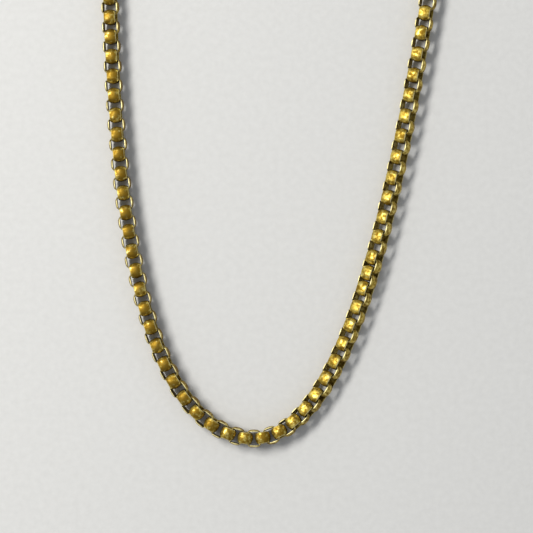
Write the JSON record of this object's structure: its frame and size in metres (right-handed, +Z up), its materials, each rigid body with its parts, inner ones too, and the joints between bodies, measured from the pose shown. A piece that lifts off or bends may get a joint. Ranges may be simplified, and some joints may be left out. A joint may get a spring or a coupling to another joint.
{
  "type": "chain necklace",
  "caption": "Open round box chain necklace laid out flat, with jump ring, lobster clasp and end ring; every stretch of links flexes.",
  "frame": {"origin": "bottom centre of the box around the necklace as it lies", "axes": "+Z up from the table, +Y from the bottom of the curve towards the clasp, +X to the wearer's left"},
  "size_m": [0.0816, 0.2466, 0.0036],
  "materials": {
    "chain": "satin",
    "rings": "polished",
    "clasp": "polished",
    "clasp_pin": "polished",
    "spring": "satin"
  },
  "bodies": {
    "chain_center": {"chain_center": "chain"},
    "chain_left_01": {"chain_left_01": "chain"},
    "chain_left_02": {"chain_left_02": "chain"},
    "chain_left_03": {"chain_left_03": "chain"},
    "chain_left_04": {"chain_left_04": "chain"},
    "chain_left_05": {"chain_left_05": "chain"},
    "chain_left_06": {"chain_left_06": "chain"},
    "chain_left_07": {"chain_left_07": "chain"},
    "chain_left_08": {"chain_left_08": "chain"},
    "chain_left_09": {"chain_left_09": "chain"},
    "chain_left_10": {"chain_left_10": "chain"},
    "chain_left_11": {"chain_left_11": "chain"},
    "chain_left_12": {"chain_left_12": "chain"},
    "chain_left_13": {"chain_left_13": "chain"},
    "chain_left_14": {"chain_left_14": "chain"},
    "chain_left_15": {"chain_left_15": "chain"},
    "chain_left_16": {"chain_left_16": "chain"},
    "chain_left_17": {"chain_left_17": "chain"},
    "chain_left_18": {"chain_left_18": "chain"},
    "chain_left_19": {"chain_left_19": "chain"},
    "chain_left_20": {"chain_left_20": "chain"},
    "chain_left_21": {"chain_left_21": "chain"},
    "chain_left_22": {"chain_left_22": "chain"},
    "chain_left_23": {"chain_left_23": "chain"},
    "chain_left_24": {"chain_left_24": "chain"},
    "chain_left_25": {"chain_left_25": "chain"},
    "chain_left_26": {"chain_left_26": "chain"},
    "chain_right_01": {"chain_right_01": "chain"},
    "chain_right_02": {"chain_right_02": "chain"},
    "chain_right_03": {"chain_right_03": "chain"},
    "chain_right_04": {"chain_right_04": "chain"},
    "chain_right_05": {"chain_right_05": "chain"},
    "chain_right_06": {"chain_right_06": "chain"},
    "chain_right_07": {"chain_right_07": "chain"},
    "chain_right_08": {"chain_right_08": "chain"},
    "chain_right_09": {"chain_right_09": "chain"},
    "chain_right_10": {"chain_right_10": "chain"},
    "chain_right_11": {"chain_right_11": "chain"},
    "chain_right_12": {"chain_right_12": "chain"},
    "chain_right_13": {"chain_right_13": "chain"},
    "chain_right_14": {"chain_right_14": "chain"},
    "chain_right_15": {"chain_right_15": "chain"},
    "chain_right_16": {"chain_right_16": "chain"},
    "chain_right_17": {"chain_right_17": "chain"},
    "chain_right_18": {"chain_right_18": "chain"},
    "chain_right_19": {"chain_right_19": "chain"},
    "chain_right_20": {"chain_right_20": "chain"},
    "chain_right_21": {"chain_right_21": "chain"},
    "chain_right_22": {"chain_right_22": "chain"},
    "chain_right_23": {"chain_right_23": "chain"},
    "chain_right_24": {"chain_right_24": "chain"},
    "chain_right_25": {"chain_right_25": "chain"},
    "chain_right_26": {"chain_right_26": "chain"},
    "jump_ring": {"jump_ring": "rings"},
    "clasp": {"clasp_body": "clasp", "trigger_rivet": "clasp_pin", "trigger_spring": "spring"},
    "trigger": {"clasp_trigger": "clasp"},
    "end_ring": {"end_ring": "rings"}
  },
  "joints": [
    {"name": "left_bend_01", "type": "hinge", "parent": "chain_center", "child": "chain_left_01", "pos_m": [-0.01625, -0.1209, 0.00166], "axis": [0.0131, 0.0385, -0.9992], "range_deg": [-12, 12]},
    {"name": "left_lift_02", "type": "hinge", "parent": "chain_left_01", "child": "chain_left_02", "pos_m": [-0.02324, -0.1161, 0.00168], "axis": [-0.7268, -0.6652, -0.1712], "range_deg": [-12, 12]},
    {"name": "left_bend_03", "type": "hinge", "parent": "chain_left_02", "child": "chain_left_03", "pos_m": [-0.02818, -0.10864, 0.00167], "axis": [-0.1308, -0.0646, 0.9893], "range_deg": [-12, 12]},
    {"name": "left_lift_04", "type": "hinge", "parent": "chain_left_03", "child": "chain_left_04", "pos_m": [-0.03148, -0.10029, 0.00166], "axis": [0.951, 0.3008, 0.0716], "range_deg": [-12, 12]},
    {"name": "left_bend_05", "type": "hinge", "parent": "chain_left_04", "child": "chain_left_05", "pos_m": [-0.03376, -0.09161, 0.00166], "axis": [0.0073, 0.0016, -1], "range_deg": [-12, 12]},
    {"name": "left_lift_06", "type": "hinge", "parent": "chain_left_05", "child": "chain_left_06", "pos_m": [-0.0354, -0.08277, 0.00166], "axis": [-0.9881, -0.1541, -0.0017], "range_deg": [-12, 12]},
    {"name": "left_bend_07", "type": "hinge", "parent": "chain_left_06", "child": "chain_left_07", "pos_m": [-0.03658, -0.07387, 0.00166], "axis": [-0.0086, -0.001, 1], "range_deg": [-12, 12]},
    {"name": "left_lift_08", "type": "hinge", "parent": "chain_left_07", "child": "chain_left_08", "pos_m": [-0.03745, -0.06493, 0.00166], "axis": [0.9962, 0.0812, 0.0317], "range_deg": [-12, 12]},
    {"name": "left_bend_09", "type": "hinge", "parent": "chain_left_08", "child": "chain_left_09", "pos_m": [-0.03807, -0.05596, 0.00166], "axis": [0.0772, 0.0044, -0.997], "range_deg": [-12, 12]},
    {"name": "left_lift_10", "type": "hinge", "parent": "chain_left_09", "child": "chain_left_10", "pos_m": [-0.03849, -0.04699, 0.00167], "axis": [-0.9913, -0.0381, -0.126], "range_deg": [-12, 12]},
    {"name": "left_bend_11", "type": "hinge", "parent": "chain_left_10", "child": "chain_left_11", "pos_m": [-0.03877, -0.03801, 0.00167], "axis": [-0.1378, -0.0032, 0.9905], "range_deg": [-12, 12]},
    {"name": "left_lift_12", "type": "hinge", "parent": "chain_left_11", "child": "chain_left_12", "pos_m": [-0.03892, -0.02902, 0.00167], "axis": [0.9946, 0.0103, 0.1032], "range_deg": [-12, 12]},
    {"name": "left_bend_13", "type": "hinge", "parent": "chain_left_12", "child": "chain_left_13", "pos_m": [-0.03896, -0.02004, 0.00166], "axis": [0.0589, 0, -0.9983], "range_deg": [-12, 12]},
    {"name": "left_lift_14", "type": "hinge", "parent": "chain_left_13", "child": "chain_left_14", "pos_m": [-0.03893, -0.01105, 0.00166], "axis": [-0.9991, 0.0052, -0.0412], "range_deg": [-12, 12]},
    {"name": "left_bend_15", "type": "hinge", "parent": "chain_left_14", "child": "chain_left_15", "pos_m": [-0.03891, -0.00207, 0.00166], "axis": [-0.0557, -0.0002, 0.9984], "range_deg": [-12, 12]},
    {"name": "left_lift_16", "type": "hinge", "parent": "chain_left_15", "child": "chain_left_16", "pos_m": [-0.039, 0.00692, 0.00166], "axis": [0.9958, 0.0161, 0.09], "range_deg": [-12, 12]},
    {"name": "left_bend_17", "type": "hinge", "parent": "chain_left_16", "child": "chain_left_17", "pos_m": [-0.03915, 0.0159, 0.00167], "axis": [0.128, 0.0015, -0.9918], "range_deg": [-12, 12]},
    {"name": "left_lift_18", "type": "hinge", "parent": "chain_left_17", "child": "chain_left_18", "pos_m": [-0.03915, 0.02488, 0.00167], "axis": [-0.9881, 0.0137, -0.153], "range_deg": [-12, 12]},
    {"name": "left_bend_19", "type": "hinge", "parent": "chain_left_18", "child": "chain_left_19", "pos_m": [-0.03888, 0.03387, 0.00167], "axis": [-0.1529, 0.0071, 0.9882], "range_deg": [-12, 12]},
    {"name": "left_lift_20", "type": "hinge", "parent": "chain_left_19", "child": "chain_left_20", "pos_m": [-0.03833, 0.04283, 0.00167], "axis": [0.9889, -0.0754, 0.1281], "range_deg": [-12, 12]},
    {"name": "left_bend_21", "type": "hinge", "parent": "chain_left_20", "child": "chain_left_21", "pos_m": [-0.03754, 0.05178, 0.00166], "axis": [0.0892, -0.0087, -0.996], "range_deg": [-12, 12]},
    {"name": "left_lift_22", "type": "hinge", "parent": "chain_left_21", "child": "chain_left_22", "pos_m": [-0.03664, 0.06072, 0.00166], "axis": [-0.9933, 0.1028, -0.0524], "range_deg": [-12, 12]},
    {"name": "left_bend_23", "type": "hinge", "parent": "chain_left_22", "child": "chain_left_23", "pos_m": [-0.03574, 0.06966, 0.00166], "axis": [-0.0255, 0.0024, 0.9997], "range_deg": [-12, 12]},
    {"name": "left_lift_24", "type": "hinge", "parent": "chain_left_23", "child": "chain_left_24", "pos_m": [-0.03497, 0.07861, 0.00166], "axis": [0.9972, -0.0746, 0.0104], "range_deg": [-12, 12]},
    {"name": "left_bend_25", "type": "hinge", "parent": "chain_left_24", "child": "chain_left_25", "pos_m": [-0.03441, 0.08758, 0.00166], "axis": [0.0036, -0.0002, -1], "range_deg": [-12, 12]},
    {"name": "left_lift_26", "type": "hinge", "parent": "chain_left_25", "child": "chain_left_26", "pos_m": [-0.03407, 0.09656, 0.00166], "axis": [-0.9996, 0.0273, -0.001], "range_deg": [-12, 12]},
    {"name": "right_bend_01", "type": "hinge", "parent": "chain_center", "child": "chain_right_01", "pos_m": [-0.00833, -0.12071, 0.00167], "axis": [-0.0576, 0.1314, 0.9897], "range_deg": [-12, 12]},
    {"name": "right_lift_02", "type": "hinge", "parent": "chain_right_01", "child": "chain_right_02", "pos_m": [-0.00211, -0.11568, 0.00175], "axis": [-0.7091, 0.5822, -0.3979], "range_deg": [-12, 12]},
    {"name": "right_bend_03", "type": "hinge", "parent": "chain_right_02", "child": "chain_right_03", "pos_m": [0.00253, -0.10836, 0.0018], "axis": [0.446, -0.226, -0.866], "range_deg": [-12, 12]},
    {"name": "right_lift_04", "type": "hinge", "parent": "chain_right_03", "child": "chain_right_04", "pos_m": [0.00609, -0.10011, 0.0018], "axis": [0.8093, -0.3019, 0.5039], "range_deg": [-12, 12]},
    {"name": "right_bend_05", "type": "hinge", "parent": "chain_right_04", "child": "chain_right_05", "pos_m": [0.00881, -0.09201, 0.00184], "axis": [-0.5349, 0.1624, 0.8292], "range_deg": [-12, 12]},
    {"name": "right_lift_06", "type": "hinge", "parent": "chain_right_05", "child": "chain_right_06", "pos_m": [0.01111, -0.08379, 0.0018], "axis": [-0.8368, 0.2171, -0.5027], "range_deg": [-12, 12]},
    {"name": "right_bend_07", "type": "hinge", "parent": "chain_right_06", "child": "chain_right_07", "pos_m": [0.01331, -0.07467, 0.0018], "axis": [0.4877, -0.1103, -0.866], "range_deg": [-12, 12]},
    {"name": "right_lift_08", "type": "hinge", "parent": "chain_right_07", "child": "chain_right_08", "pos_m": [0.01532, -0.06527, 0.00178], "axis": [0.8658, -0.1749, 0.4687], "range_deg": [-12, 12]},
    {"name": "right_bend_09", "type": "hinge", "parent": "chain_right_08", "child": "chain_right_09", "pos_m": [0.01714, -0.05582, 0.00174], "axis": [-0.3817, 0.0702, 0.9216], "range_deg": [-12, 12]},
    {"name": "right_lift_10", "type": "hinge", "parent": "chain_right_09", "child": "chain_right_10", "pos_m": [0.01882, -0.04634, 0.00171], "axis": [-0.94, 0.1597, -0.3014], "range_deg": [-12, 12]},
    {"name": "right_bend_11", "type": "hinge", "parent": "chain_right_10", "child": "chain_right_11", "pos_m": [0.02037, -0.03684, 0.0017], "axis": [0.2556, -0.0406, -0.9659], "range_deg": [-12, 12]},
    {"name": "right_lift_12", "type": "hinge", "parent": "chain_right_11", "child": "chain_right_12", "pos_m": [0.02184, -0.02732, 0.00169], "axis": [0.9589, -0.1434, 0.2449], "range_deg": [-12, 12]},
    {"name": "right_bend_13", "type": "hinge", "parent": "chain_right_12", "child": "chain_right_13", "pos_m": [0.02323, -0.01779, 0.00168], "axis": [-0.1918, 0.0271, 0.9811], "range_deg": [-12, 12]},
    {"name": "right_lift_14", "type": "hinge", "parent": "chain_right_13", "child": "chain_right_14", "pos_m": [0.0245, -0.00829, 0.00167], "axis": [-0.9853, 0.1215, -0.1204], "range_deg": [-12, 12]},
    {"name": "right_bend_15", "type": "hinge", "parent": "chain_right_14", "child": "chain_right_15", "pos_m": [0.02552, 0.00104, 0.00166], "axis": [0.0412, -0.004, -0.9991], "range_deg": [-12, 12]},
    {"name": "right_lift_16", "type": "hinge", "parent": "chain_right_15", "child": "chain_right_16", "pos_m": [0.02631, 0.01015, 0.00166], "axis": [0.9963, -0.0806, -0.03], "range_deg": [-12, 12]},
    {"name": "right_bend_17", "type": "hinge", "parent": "chain_right_16", "child": "chain_right_17", "pos_m": [0.02706, 0.01912, 0.00166], "axis": [0.0799, -0.0072, 0.9968], "range_deg": [-12, 12]},
    {"name": "right_lift_18", "type": "hinge", "parent": "chain_right_17", "child": "chain_right_18", "pos_m": [0.02797, 0.02806, 0.00167], "axis": [-0.9862, 0.112, 0.1223], "range_deg": [-12, 12]},
    {"name": "right_bend_19", "type": "hinge", "parent": "chain_right_18", "child": "chain_right_19", "pos_m": [0.0291, 0.03697, 0.00167], "axis": [-0.1502, 0.0208, -0.9884], "range_deg": [-12, 12]},
    {"name": "right_lift_20", "type": "hinge", "parent": "chain_right_19", "child": "chain_right_20", "pos_m": [0.03041, 0.04586, 0.00167], "axis": [0.9763, -0.153, -0.1533], "range_deg": [-12, 12]},
    {"name": "right_bend_21", "type": "hinge", "parent": "chain_right_20", "child": "chain_right_21", "pos_m": [0.03184, 0.05473, 0.00167], "axis": [0.1246, -0.0203, 0.992], "range_deg": [-12, 12]},
    {"name": "right_lift_22", "type": "hinge", "parent": "chain_right_21", "child": "chain_right_22", "pos_m": [0.03326, 0.0636, 0.00166], "axis": [-0.9848, 0.1519, 0.0847], "range_deg": [-12, 12]},
    {"name": "right_bend_23", "type": "hinge", "parent": "chain_right_22", "child": "chain_right_23", "pos_m": [0.03454, 0.0725, 0.00166], "axis": [-0.0458, 0.0061, -0.9989], "range_deg": [-12, 12]},
    {"name": "right_lift_24", "type": "hinge", "parent": "chain_right_23", "child": "chain_right_24", "pos_m": [0.0356, 0.08142, 0.00166], "axis": [0.9945, -0.1029, -0.0205], "range_deg": [-12, 12]},
    {"name": "right_bend_25", "type": "hinge", "parent": "chain_right_24", "child": "chain_right_25", "pos_m": [0.03639, 0.09037, 0.00166], "axis": [0.0074, -0.0006, 1], "range_deg": [-12, 12]},
    {"name": "right_lift_26", "type": "hinge", "parent": "chain_right_25", "child": "chain_right_26", "pos_m": [0.03696, 0.09934, 0.00166], "axis": [-0.9986, 0.0536, 0.0022], "range_deg": [-12, 12]},
    {"name": "jump_ring_tilt", "type": "hinge", "parent": "chain_right_26", "child": "jump_ring", "pos_m": [0.03745, 0.1094, 0.00105], "axis": [-0.9989, 0.0458, 0], "range_deg": [-35, 35]},
    {"name": "clasp_swing", "type": "hinge", "parent": "jump_ring", "child": "clasp", "pos_m": [0.03753, 0.1113, 0.00105], "axis": [0, 0, 1], "range_deg": [-60, 60]},
    {"name": "trigger_pull", "type": "hinge", "parent": "clasp", "child": "trigger", "pos_m": [0.03682, 0.11754, 0.00125], "axis": [0, 0, -1], "range_deg": [0, 25], "stiffness_Nm_per_rad": 0.004, "springref_deg": -20.05, "deforming": ["trigger_spring"]},
    {"name": "end_ring_tilt", "type": "hinge", "parent": "chain_left_26", "child": "end_ring", "pos_m": [-0.03388, 0.10664, 0.00102], "axis": [-0.9999, 0.0142, 0], "range_deg": [-45, 30]}
  ]
}
